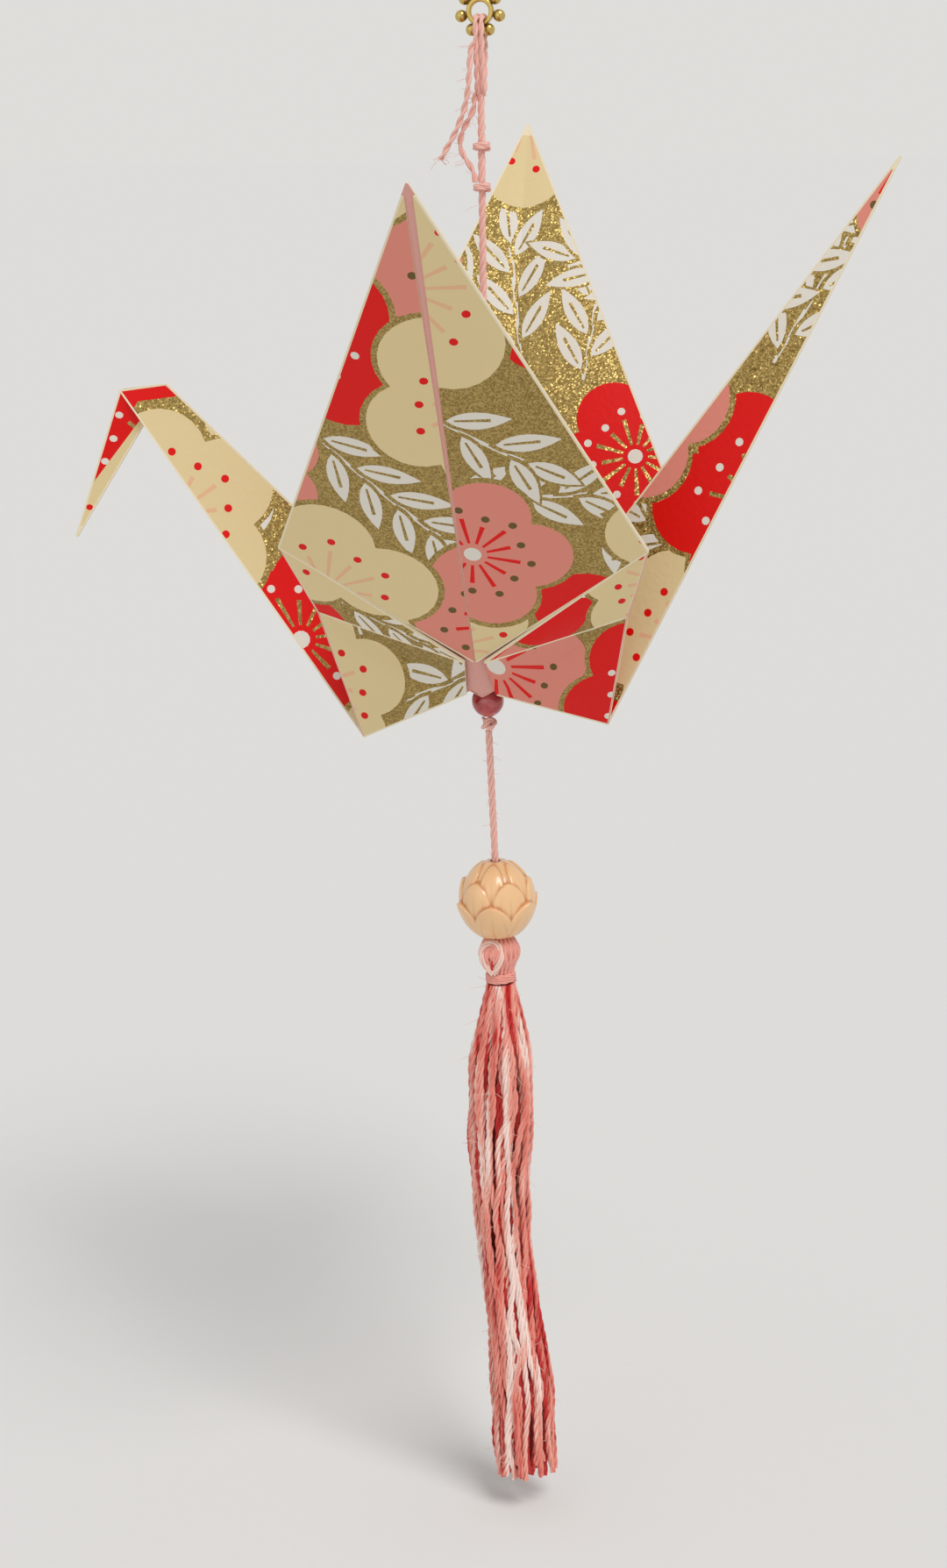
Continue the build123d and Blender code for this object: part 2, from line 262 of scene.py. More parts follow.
def texture(tree, kind, scale, detail=None, stretch=None):
    """A texture on object coordinates, stretched where the finish runs along the piece."""
    vector = tree.nodes.new("ShaderNodeTexCoord").outputs["Object"]
    if stretch:
        mapping = tree.nodes.new("ShaderNodeMapping")
        mapping.inputs["Scale"].default_value = stretch
        tree.links.new(vector, mapping.inputs["Vector"])
        vector = mapping.outputs["Vector"]
    node = tree.nodes.new(kind)
    node.inputs["Scale"].default_value = scale
    if detail is not None:
        node.inputs["Detail"].default_value = detail
    tree.links.new(vector, node.inputs["Vector"])
    return node.outputs


def colour_by(tree, shader, factor, stops):
    """Base colour that a factor picks from (position, colour) stops in rising order."""
    ramp = tree.nodes.new("ShaderNodeValToRGB")
    elements = ramp.color_ramp.elements
    for position, _ in stops[2:]:
        elements.new(position)
    for element, (position, colour) in zip(elements, stops):
        element.position = position
        element.color = colour
    tree.links.new(factor, ramp.inputs["Fac"])
    tree.links.new(ramp.outputs["Color"], shader.inputs["Base Color"])


def add_grain(tree, shader, scale, strength, depth):
    """Fine surface grain from noise."""
    noise = texture(tree, "ShaderNodeTexNoise", scale, 4)
    bump = tree.nodes.new("ShaderNodeBump")
    bump.inputs["Strength"].default_value = strength
    bump.inputs["Distance"].default_value = depth
    tree.links.new(noise["Fac"], bump.inputs["Height"])
    tree.links.new(bump.outputs["Normal"], shader.inputs["Normal"])


def printed_ink(name, colour, roughness=0.42):
    """Varnished ink on handmade paper."""
    material, tree, shader = finish_shader(name, roughness, colour, Specular_IOR_Level=0.22,
                                           Coat_Weight=0.05, Coat_Roughness=0.25)
    add_grain(tree, shader, 1400, 0.25, 0.0002)
    return material


def glitter_gold():
    """Metallic gold ground whose flakes differ in tone and tilt at random."""
    material, tree, shader = finish_shader("glitter_gold", 0.36, Metallic=0.7)
    flakes = texture(tree, "ShaderNodeTexVoronoi", 6000)["Color"]
    colour_by(tree, shader, flakes, ((0.3, srgb(140, 115, 62)), (0.75, srgb(188, 162, 98))))
    centred = vector_math(tree, "SUBTRACT", flakes, (0.5, 0.5, 0.5))[0]
    tilted = vector_math(tree, "SCALE", centred, scale=0.7)[0]
    normal = tree.nodes.new("ShaderNodeNewGeometry").outputs["Normal"]
    facing = vector_math(tree, "ADD", normal, tilted)[0]
    tree.links.new(vector_math(tree, "NORMALIZE", facing)[0], shader.inputs["Normal"])
    return material


INKS = {
    "gold": glitter_gold(),
    "old_gold": printed_ink("old_gold_ink", srgb(104, 84, 44)),
    "cream": printed_ink("cream_ink", srgb(226, 204, 154)),
    "pink": printed_ink("pink_ink", srgb(224, 138, 122)),
    "blush": printed_ink("blush_ink", srgb(230, 182, 142)),
    "red": printed_ink("red_ink", srgb(224, 15, 9)),
    "white": printed_ink("white_ink", srgb(228, 222, 210)),
    "reverse": printed_ink("paper_reverse", srgb(222, 164, 154), 0.7),
    # pale ink of the paper's cut edges; it also paints the highlight lines along folds and the pale corner
    # spots
    "edge": printed_ink("pale_edge_and_painted_fold_highlight", srgb(236, 222, 190), 0.6),
}
INK_ORDER = list(INKS)


def circle(u, v, radius, points=9):
    """Outline of a round dot."""
    step = 2 * math.pi / points
    return [(u + radius * math.cos(i * step), v + radius * math.sin(i * step)) for i in range(points)]


def petal_outline(u, v, radius, turn, grow=0.0):
    """Five round petals: the outer arcs of five circles set round the middle."""
    points = []
    for i in range(60):
        from_axis = math.radians((i * 6) % 72 - 36)
        beside = PETAL_OUT * math.sin(from_axis)
        reach = PETAL_OUT * math.cos(from_axis) + math.sqrt(PETAL_ROUND**2 - beside**2)
        angle = math.radians(turn + i * 6)
        distance = radius * reach + grow
        points.append((u + distance * math.cos(angle), v + distance * math.sin(angle)))
    return points


def spoke(u, v, angle, start, end, width):
    """A thin stamen from the middle outwards, a little wider at its end."""
    along = (math.cos(angle), math.sin(angle))
    beside = (-along[1] * width / 2, along[0] * width / 2)
    near = (u + start * along[0], v + start * along[1])
    far = (u + end * along[0], v + end * along[1])
    corners = ((near, -0.6), (far, -1), (far, 1), (near, 0.6))
    return [(x + share * beside[0], y + share * beside[1]) for (x, y), share in corners]


def blossom_shapes(u, v, radius, turn, ink):
    """Plum blossom: gold outline, petals, stamens with their dots, and a pale eye."""
    line_ink, dot_ink = STAMEN_INKS[ink]
    shapes = [(petal_outline(u, v, radius, turn, OUTLINE), "gold"),
              (petal_outline(u, v, radius, turn), ink)]
    for i in range(STAMENS):
        angle = math.radians(turn + (i + 0.5) * 360 / STAMENS)
        length = radius * (0.40 + 0.08 * (i % 2))
        shapes.append((spoke(u, v, angle, 0.15 * radius, length, 0.56), line_ink))
        reach = length + 0.11 * radius
        shapes.append((circle(u + reach * math.cos(angle), v + reach * math.sin(angle), 0.5), dot_ink))
    shapes.append((circle(u, v, 0.09 * radius, 12), "white"))
    return shapes


def leaf_outline(u, v, angle, length, width):
    """A slender leaf from its foot at (u, v), pointed at both ends."""
    points = []
    for i in range(16):
        t = i / 8 if i <= 8 else (16 - i) / 8
        bulge = width / 2 * math.sin(math.pi * t**0.85) ** 0.9 * (1 if i <= 8 else -1)
        points.append((u + length * t * math.cos(angle) - bulge * math.sin(angle),
                       v + length * t * math.sin(angle) + bulge * math.cos(angle)))
    return points


def sprig_shapes(u, v, direction, length):
    """A stem with pairs of leaves swept forward and one at its end, each with a gold midrib."""
    heading = math.radians(direction)
    pairs = max(2, round(length / 5.4))
    shapes = [(spoke(u, v, heading, 0, length, 0.6), "white")]
    leaves = [(length - 1.0, 0.0, 6.6)]
    for i in range(pairs):
        leaves += [((i + 0.15) * length / pairs, 0.62, 7.2), ((i + 0.55) * length / pairs, -0.62, 7.0)]
    for reach, spread, size in leaves:
        foot = (u + reach * math.cos(heading), v + reach * math.sin(heading))
        angle = heading + spread
        start = (foot[0] + 0.8 * math.cos(angle), foot[1] + 0.8 * math.sin(angle))
        shapes.append((leaf_outline(*foot, angle, size + 1.3, 3.2), "gold"))
        shapes.append((leaf_outline(*start, angle, size, 2.4), "white"))
        shapes.append((spoke(*start, angle, 0.9, 0.68 * size, 0.42), "gold"))
    return shapes


def sheet_print():
    """Outline and ink of every printed shape, in the order of printing."""
    shapes = []
    for sprig in SPRIGS:
        shapes += sprig_shapes(*sprig)
    for blossom in BLOSSOMS:
        shapes += blossom_shapes(*blossom)
    shapes += [(CREST, "red"), (BEAK_LINING, "cream"), (circle(*BEAK_DOT), "red")]
    for u, v in ((0, 1), (0, -1), (1, 0), (-1, 0)):
        shapes.append((circle(u * HALF_DIAGONAL, v * HALF_DIAGONAL, PALE_TIP), "edge"))
    return [(np.array(outline), ink) for outline, ink in shapes]


def inside(points, outline):
    """Even-odd test of many points against one closed outline."""
    x, y = points[:, 0], points[:, 1]
    hit = np.zeros(len(points), bool)
    for (x0, y0), (x1, y1) in zip(outline, np.roll(outline, -1, axis=0)):
        if y0 == y1:
            continue
        crosses = (y0 > y) != (y1 > y)
        hit ^= crosses & (x < (x1 - x0) * (y - y0) / (y1 - y0) + x0)
    return hit


class PaperMesh:
    """Collects layers of printed paper into one mesh with a material for each ink."""

    def __init__(self):
        self.vertices = []
        self.faces = []
        self.inks = []
        self.print = sheet_print()

    def add(self, indices, ink):
        self.faces.append(indices)
        self.inks.append(INK_ORDER.index(ink))

    def layer(self, corners, flat, towards, low, high, swell=0.0, highlit_sides=()):
        """One closed layer of paper between two heights over the plane of its corners.

        corners are points in space, flat the same points on the sheet, the printed side
        is the one that faces towards, and highlit_sides numbers the folds with a painted highlight line."""
        a, along, beside = corners[0], corners[1] - corners[0], corners[2] - corners[0]
        normal = along.cross(beside).normalized()
        if normal.dot(towards) < 0:
            normal = -normal
        outline = blunt_outline(corners)
        basis = np.array([flat[1], flat[2]]) - np.array(flat[0])
        products = [[along.dot(along), along.dot(beside)], [along.dot(beside), beside.dot(beside)]]
        solve = np.linalg.inv(products)

        def shares(point):
            offset = point - a
            return solve @ np.array([offset.dot(along), offset.dot(beside)])

        edge = np.array([np.array(flat[0]) + shares(p) @ basis for p in outline])
        points, triangles, inks = self.cut(edge, highlight_inset_outline(np.array(flat), highlit_sides))
        weights = (points - np.array(flat[0])) @ np.linalg.inv(basis)
        base = len(self.vertices)
        for s, t in weights:
            arch = max(0.0, 27 * s * t * (1 - s - t)) if len(corners) == 3 else 0.0
            self.vertices.append(a + along * s + beside * t + normal * (high + swell * arch))
        mirrored = np.linalg.det(basis) * along.cross(beside).dot(normal) < 0
        sides = []
        for triangle, ink in zip(triangles, inks):
            face = tuple(base + i for i in (reversed(triangle) if mirrored else triangle))
            self.add(face, ink)
            sides += zip(face, face[1:] + face[:1])
        known = set(sides)
        rim = {i: j for i, j in sides if (j, i) not in known}
        self.close(rim, base, weights, (a, along, beside, normal * low))

    def close(self, rim, base, weights, plane):
        """The plain back of a layer and the narrow faces of its edge."""
        a, along, beside, down = plane
        start = next(iter(rim))
        loop = [start]
        while rim[loop[-1]] != start:
            loop.append(rim[loop[-1]])
        below = {}
        for i in loop:
            s, t = weights[i - base]
            below[i] = len(self.vertices)
            self.vertices.append(a + along * s + beside * t + down)
        # The narrow edge faces take the pale edge ink: the paper's pale cut edge, with the highlight that
        # falls on it painted in
        for i in loop:
            self.add((rim[i], i, below[i], below[rim[i]]), "edge")
        self.add(tuple(below[i] for i in reversed(loop)), "reverse")

    def cut(self, edge, highlight_inset):
        """Cuts the panel along the printed shapes; returns points, triangles and their inks."""
        lowest, highest = edge.min(axis=0), edge.max(axis=0)
        near = [(o, ink) for o, ink in self.print
                if (o.max(axis=0) > lowest).all() and (o.min(axis=0) < highest).all()]
        columns, rows = (np.arange(low, high, GRID) for low, high in zip(lowest, highest))
        grid = np.stack(np.meshgrid(columns, rows), axis=-1).reshape(-1, 2)
        points = [Vector(p) for p in edge]
        lines = [(i, (i + 1) % len(edge)) for i in range(len(edge))]
        for outline in [o for o, _ in near] + [highlight_inset]:
            first = len(points)
            points += [Vector(p) for p in outline]
            lines += [(first + i, first + (i + 1) % len(outline)) for i in range(len(outline))]
        points += [Vector(p) for p in grid[inside(grid, edge)]]
        cut_points, _, triangles, *_ = delaunay_2d_cdt(points, lines, [], 0, CUT_TOLERANCE)
        cut_points = np.array([tuple(p) for p in cut_points])
        triangles = np.array(triangles)
        middles = cut_points[triangles].mean(axis=1)
        keep = inside(middles, edge)
        triangles, middles = triangles[keep], middles[keep]
        inks = np.full(len(triangles), "gold", dtype=object)
        for outline, ink in near:
            inks[inside(middles, outline)] = ink
        # a pale line of painted highlight along the chosen folds
        inks[~inside(middles, highlight_inset)] = "edge"
        used = np.unique(triangles)
        return cut_points[used], np.searchsorted(used, triangles).tolist(), list(inks)


def highlight_inset_outline(corners, highlit_sides):
    """The part of a flat panel inside the painted highlight lines along the sides named by number."""
    following = np.roll(corners, -1, axis=0)
    along = (following - corners) / np.linalg.norm(following - corners, axis=1)[:, None]
    turning = np.sign(along[0, 0] * along[1, 1] - along[0, 1] * along[1, 0])
    outward = np.stack([along[:, 1], -along[:, 0]], axis=1) * turning
    past = np.array([FOLD_EDGE - FOLD_HIGHLIGHT if i in highlit_sides else 1.0 for i in range(len(corners))])
    level = np.sum(outward * corners, axis=1) + past
    pairs = [(i - 1, i) for i in range(len(corners))]
    return np.array([np.linalg.solve(outward[list(pair)], level[list(pair)]) for pair in pairs])


def blunt_outline(corners):
    """The panel's corners pushed out past the fold lines, each blunted by three points."""
    normal = (corners[1] - corners[0]).cross(corners[2] - corners[0]).normalized()
    outline = []
    for before, corner, after in zip(corners[-1:] + corners[:-1], corners, corners[1:] + corners[:1]):
        first = (corner - before).cross(normal).normalized()
        last = (after - corner).cross(normal).normalized()
        outline += [corner + away * FOLD_EDGE for away in (first, (first + last).normalized(), last)]
    return outline


def polar(angle, length):
    """A step of some length in the XZ plane, at an angle over +X."""
    return Vector((length * math.cos(math.radians(angle)), 0, length * math.sin(math.radians(angle))))


def quarter_corners(side, front):
    """Corner points of one quarter of the crane; side and front are +1 or -1."""
    def place(v):
        return CENTRE + Vector((side * v.x, -front * v.y, v.z))

    tilt = math.radians(FRONT_LEAN if front > 0 else BACK_LEAN)
    along = Vector((0, math.sin(tilt), math.cos(tilt)))
    inward = Vector((0, -math.cos(tilt), math.sin(tilt)))
    corner = WING_FOOT + along * CORNER_UP + inward * WING_CUP + Vector((CORNER_ACROSS, 0, 0))
    points = {"tip": WING_FOOT + along * WING_LENGTH, "corner": corner, "foot": WING_FOOT,
              "hinge": HINGE_MIDDLE, "pleat": PLEAT_OUTER, "inner": PLEAT_INNER, "lip": PANEL_LIP,
              "root": LEG_ROOT, "turn": NECK_TURN if side < 0 else TAIL_TURN, "centre": Vector((0, 0, 0))}
    return {name: place(v) for name, v in points.items()}


def flat_point(side, front, layer, name):
    """Where a corner of one quarter lies on the flat sheet."""
    u, w = FLAT[layer][name]
    return (side * u, -front * w)


# Each panel of a quarter: its corners, its layer of the sheet, which side the print is on
# as (sideways, outwards, up), how far it swells and which of its sides get a painted highlight line
QUARTER_PANELS = (
    (("tip", "corner", "foot"), "inner", (0, -1, 0.5), 0.5, (0,)),
    (("foot", "corner", "hinge"), "inner", (0, -1, 0.5), 0.0, ()),
    (("corner", "pleat", "hinge"), "inner", (0, -1, 0.5), 0.0, ()),
    (("corner", "inner", "pleat"), "strip", (0, 1, 0), 0.3, (0, 1, 2)),
    (("pleat", "inner", "lip"), "flap", (0, 1, 0), 0.0, (0,)),
    (("pleat", "lip", "turn"), "flap", (0, 1, 0), 0.4, (1, 2)),
    (("centre", "pleat", "hinge"), "hump", (0, 1, 1), 0.3, (0,)),
    (("centre", "pleat", "root"), "hump", (1, 0, 1), 0.3, (0,)),
    (("pleat", "turn", "root"), "hump", (1, 0, 0.3), 0.0, (0,)),
)


def add_quarter(paper, side, front):
    """All panels of one quarter of the crane; returns its corner points."""
    corners = quarter_corners(side, front)
    for names, layer, facing, swell, highlit_sides in QUARTER_PANELS:
        flat = [flat_point(side, front, layer, name) for name in names]
        towards = Vector((side * facing[0], -front * facing[1], facing[2]))
        paper.layer([corners[name] for name in names], flat, towards, -LAYER, LAYER, swell, highlit_sides)
    add_outer_layer(paper, corners, side, front)
    return corners


def add_outer_layer(paper, corners, side, front):
    """Half of a wing's outer face, stopped short of the middle line by half the seam."""
    tip, corner, foot = (corners[name] for name in ("tip", "corner", "foot"))
    flat_tip, flat_corner, flat_foot = (np.array(flat_point(side, front, "outer", name))
                                        for name in ("tip", "corner", "foot"))
    at_top = SEAM_TOP / 2 / CORNER_ACROSS
    at_foot = SEAM_BOTTOM / 2 / CORNER_ACROSS
    points = [tip.lerp(corner, at_top), corner, foot.lerp(corner, at_foot)]
    flat = [flat_tip + (flat_corner - flat_tip) * at_top, flat_corner,
            flat_foot + (flat_corner - flat_foot) * at_foot]
    paper.layer(points, flat, Vector((0, -front, 0)), LAYER, 2 * LAYER, 0.5, (0, 1))


def add_leg(paper, corners, front, side):
    """The tail, or the neck and head: two thin layers back to back for each wall."""
    def both_sides(points, flat, highlit_sides):
        for outward in (-front, front):
            paper.layer(points, flat, Vector((0, outward, 0)), 0, LAYER, 0.0, highlit_sides)

    def on_sheet(layer, name):
        return np.array(flat_point(side, front, layer, name))

    root, turn = corners["root"], corners["turn"]
    flat_root, flat_turn, flat_tip = (on_sheet("leg", name) for name in ("root", "turn", "tip"))
    if side > 0:
        tip = root + polar(TAIL_RISE, LEG_LENGTH)
        both_sides([root, turn, tip], [flat_root, flat_turn, flat_tip], (1, 2))
        return
    tip = root + polar(180 - NECK_RISE, LEG_LENGTH)
    nape = root + polar(180 - NECK_RISE, NECK_LENGTH)
    beak = nape + polar(180 + HEAD_DIP, HEAD_LENGTH)
    crease = polar(HEAD_CREASE, 1)
    edge, away = tip - turn, nape - turn
    share = (away.x * crease.z - away.z * crease.x) / (edge.x * crease.z - edge.z * crease.x)
    crown = turn + edge * share
    flat_crown = flat_turn + (flat_tip - flat_turn) * share
    flat_neck = [flat_root, flat_turn, flat_crown, on_sheet("leg", "nape")]
    both_sides([root, turn, crown, nape], flat_neck, (1, 2, 3))
    flat_head = [on_sheet("head", "nape"), flat_crown, on_sheet("head", "beak")]
    both_sides([nape, crown, beak], flat_head, (0, 1, 2))


def mesh_object(name, vertices, faces, materials, indices=None):
    """A smooth mesh object from points in millimetres."""
    mesh = bpy.data.meshes.new(name)
    mesh.from_pydata([tuple(c * MM for c in v) for v in vertices], [], faces)
    for material in materials:
        mesh.materials.append(material)
    if indices is not None:
        mesh.polygons.foreach_set("material_index", indices)
    mesh.polygons.foreach_set("use_smooth", [True] * len(mesh.polygons))
    return placed(name, mesh)


def folded_crane():
    """The printed sheet, folded: four quarters, the tail, and the neck with its head."""
    paper = PaperMesh()
    for side in (-1, 1):
        for front in (1, -1):
            corners = add_quarter(paper, side, front)
            add_leg(paper, corners, front, side)
    piece = mesh_object("folded_crane", paper.vertices, paper.faces, list(INKS.values()), paper.inks)
    piece.data.set_sharp_from_angle(angle=math.radians(SHARP_FOLD))
    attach(piece, "root")
    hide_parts("paper_crane")


folded_crane()


# Threads: plies that wind round a path
PLY_SIDES = 6


def plied_thread_tree():
    """Geometry nodes that lay plies round every path of a curve object."""
    tree = bpy.data.node_groups.new("plied_thread", "GeometryNodeTree")
    sockets = (("Ply count", "NodeSocketInt", 3), ("Ply radius", "NodeSocketFloat", 0.0003),
               ("Lay radius", "NodeSocketFloat", 0.0002), ("Turns per metre", "NodeSocketFloat", 400.0),
               ("Spacing", "NodeSocketFloat", 0.0004), ("Finish", "NodeSocketMaterial", None))
    tree.interface.new_socket("Path", in_out="INPUT", socket_type="NodeSocketGeometry")
    for name, kind, value in sockets:
        socket = tree.interface.new_socket(name, in_out="INPUT", socket_type=kind)
        if value is not None:
            socket.default_value = value
    tree.interface.new_socket("Thread", in_out="OUTPUT", socket_type="NodeSocketGeometry")
    nodes = tree.nodes
    given = nodes.new("NodeGroupInput").outputs

    def wire(node, **inputs):
        """Feeds the named inputs of a node; returns its outputs."""
        for name, value in inputs.items():
            feed(tree, node.inputs[name.replace("_", " ")], value)
        return node.outputs

    def math_node(operation, first, second=None):
        node = nodes.new("ShaderNodeMath")
        node.operation = operation
        for socket, value in zip(node.inputs, (first, second)):
            if value is not None:
                feed(tree, socket, value)
        return node.outputs[0]

    resample = nodes.new("GeometryNodeResampleCurve")
    resample.mode = "LENGTH"
    spaced = wire(resample, Curve=given["Path"], Length=given["Spacing"])["Curve"]
    duplicate = nodes.new("GeometryNodeDuplicateElements")
    duplicate.domain = "SPLINE"
    copies = wire(duplicate, Geometry=spaced, Amount=given["Ply count"])
    along = nodes.new("GeometryNodeSplineParameter").outputs["Length"]
    wound = math_node("MULTIPLY", along, given["Turns per metre"])
    share = math_node("DIVIDE", copies["Duplicate Index"], given["Ply count"])
    angle = math_node("MULTIPLY", math_node("ADD", wound, share), 2 * math.pi)
    normal = nodes.new("GeometryNodeInputNormal").outputs["Normal"]
    tangent = nodes.new("GeometryNodeInputTangent").outputs["Tangent"]
    across = vector_math(tree, "CROSS_PRODUCT", tangent, normal)[0]
    out = math_node("MULTIPLY", math_node("COSINE", angle), given["Lay radius"])
    sideways = math_node("MULTIPLY", math_node("SINE", angle), given["Lay radius"])
    first = vector_math(tree, "SCALE", normal, scale=out)[0]
    second = vector_math(tree, "SCALE", across, scale=sideways)[0]
    offset = vector_math(tree, "ADD", first, second)[0]
    laid = wire(nodes.new("GeometryNodeSetPosition"), Geometry=copies["Geometry"], Offset=offset)["Geometry"]
    circle_node = nodes.new("GeometryNodeCurvePrimitiveCircle")
    profile = wire(circle_node, Resolution=PLY_SIDES, Radius=given["Ply radius"])["Curve"]
    tube_node = nodes.new("GeometryNodeCurveToMesh")
    tube = wire(tube_node, Curve=laid, Profile_Curve=profile, Fill_Caps=True)["Mesh"]
    realized = wire(nodes.new("GeometryNodeRealizeInstances"), Geometry=tube)["Geometry"]
    painted = wire(nodes.new("GeometryNodeSetMaterial"), Geometry=realized, Material=given["Finish"])
    wire(nodes.new("NodeGroupOutput"), Thread=painted["Geometry"])
    return tree


PLIED_THREAD = plied_thread_tree()


def plied_thread(name, paths, closed, finish, **sizes):
    """Plied thread along the given paths, in millimetres, as one plain mesh."""
    curve = bpy.data.curves.new(name + "_path", "CURVE")
    curve.dimensions = "3D"
    for path in paths:
        spline = curve.splines.new("POLY")
        spline.points.add(len(path) - 1)
        for point, place in zip(spline.points, path):
            point.co = (*(c * MM for c in place), 1)
        spline.use_cyclic_u = closed
    route = placed(name + "_path", curve)
    modifier = route.modifiers.new("plies", "NODES")
    modifier.node_group = PLIED_THREAD
    identifiers = {s.name: s.identifier for s in PLIED_THREAD.interface.items_tree if s.in_out == "INPUT"}
    modifier[identifiers["Finish"]] = finish
    for socket, value in sizes.items():
        modifier[identifiers[socket.replace("_", " ")]] = value
    depsgraph = bpy.context.evaluated_depsgraph_get()
    mesh = bpy.data.meshes.new_from_object(route.evaluated_get(depsgraph), depsgraph=depsgraph)
    mesh.name = name
    bpy.data.objects.remove(route)
    mesh.polygons.foreach_set("use_smooth", [True] * len(mesh.polygons))
    piece = placed(name, mesh)
    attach(piece, "root")
    return piece


def floss(name, colour):
    """Plied cotton floss of one colour."""
    material, tree, shader = finish_shader(name, 0.62, colour, Sheen_Weight=0.35, Sheen_Roughness=0.4)
    add_grain(tree, shader, 5200, 0.35, 0.0001)
    return material


PINK_THREAD = floss("pink_thread", srgb(244, 188, 174))
SALMON_FLOSS = floss("salmon_floss", srgb(238, 160, 144))
RED_FLOSS = floss("red_floss", srgb(200, 44, 38))
PALE_FLOSS = floss("pale_floss", srgb(246, 208, 194))


def spline_path(points, closed=False):
    """Points read from a smooth spline that has a route's points as its control points."""
    curve = bpy.data.curves.new("route", "CURVE")
    curve.dimensions = "3D"
    spline = curve.splines.new("NURBS")
    spline.points.add(len(points) - 1)
    for control, point in zip(spline.points, points):
        control.co = (*point, 1)
    spline.order_u = 3
    spline.use_endpoint_u = not closed
    spline.use_cyclic_u = closed
    holder = bpy.data.objects.new("route", curve)
    line = bpy.data.meshes.new_from_object(holder)
    path = [vertex.co.copy() for vertex in line.vertices]
    bpy.data.objects.remove(holder)
    bpy.data.curves.remove(curve)
    bpy.data.meshes.remove(line)
    return path


bead_z = CENTRE.z + PANEL_LIP.z - BEAD_BELOW_LIP
drop_slope = math.tan(math.radians(DROP_TILT))
knot_top = bead_z - math.sqrt(RED_BEAD**2 - BEAD_BORE**2) / 2 - BEAD_BORE / 2 * drop_slope
thread_top = -LOOP_BOTTOM - STRAND / 2
thread_end = knot_top + THREAD / 2 * drop_slope


def plies(count, ply_radius, lay_radius, turns_per_metre, spacing):
    """Sizes of a plied thread, in metres, named as the tree's inputs."""
    return {"Ply_count": count, "Ply_radius": ply_radius, "Lay_radius": lay_radius,
            "Turns_per_metre": turns_per_metre, "Spacing": spacing}


THREAD_PLIES = plies(3, 0.00024, 0.00021, 260.0, 0.00025)
DROP_PLIES = plies(4, 0.00019, 0.00026, 190.0, 0.0003)
THIN_PLIES = plies(2, 0.00020, 0.00016, 300.0, 0.00025)
WOUND_PLIES = plies(3, 0.00016, 0.00014, 300.0, 0.0002)
FIBRE = plies(1, 0.000022, 0.0, 0.0, 0.0003)
TURN_POINTS = 16            # points of one turn of wound thread
KNOT_POINTS = 48


def pink_strand(name, paths, closed, node, **sizes):
    """A pink thread that stands for one solid."""
    piece = plied_thread(name, paths, closed, PINK_THREAD, **sizes)
    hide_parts(node)
    return piece


def turns_path(place, radius, bottom, height, turns):
    """Thread wound round the Z axis of a place."""
    steps = TURN_POINTS * turns
    path = []
    for i in range(steps + 1):
        angle = 2 * math.pi * turns * i / steps
        rise = bottom + height * i / steps
        path.append(place @ Vector((radius * math.cos(angle), radius * math.sin(angle), rise)))
    return path


def overhand_path(place, radius, bottom, height):
    """A closed overhand knot of three crossings."""
    path = []
    for i in range(KNOT_POINTS):
        t = 2 * math.pi * i / KNOT_POINTS
        reach = radius * (2 + math.cos(3 * t)) / 3
        rise = bottom + height / 2 * (1 + math.sin(3 * t))
        path.append(place @ Vector((reach * math.cos(2 * t), reach * math.sin(2 * t), rise)))
    return path


def stray_fibres(paths, generator, count, radius, reach):
    """Short loose fibres that stand off the given threads."""
    fibres = []
    for _ in range(count):
        path = generator.choice(paths)
        root = Vector(generator.choice(path))
        angle = generator.uniform(0, 2 * math.pi)
        away = Vector((math.cos(angle), math.sin(angle), generator.uniform(-1.0, 0.4))).normalized()
        length = reach * generator.uniform(0.4, 1.0)
        lean = Vector((generator.uniform(-1, 1), generator.uniform(-1, 1), generator.uniform(-1, 0.5)))
        bend = lean * 0.5 * length
        start = root + away * 0.7 * radius
        fibres.append([start + away * length * t + bend * t * t for t in QUARTERS])
    return fibres


upright = Matrix.Identity(4)
drop = Matrix.Translation((0, 0, knot_top)) @ Matrix.Rotation(math.radians(-DROP_TILT), 4, "Y")
flower_z = -KNOT_HEIGHT - DROP_LENGTH - FLOWER_HEIGHT


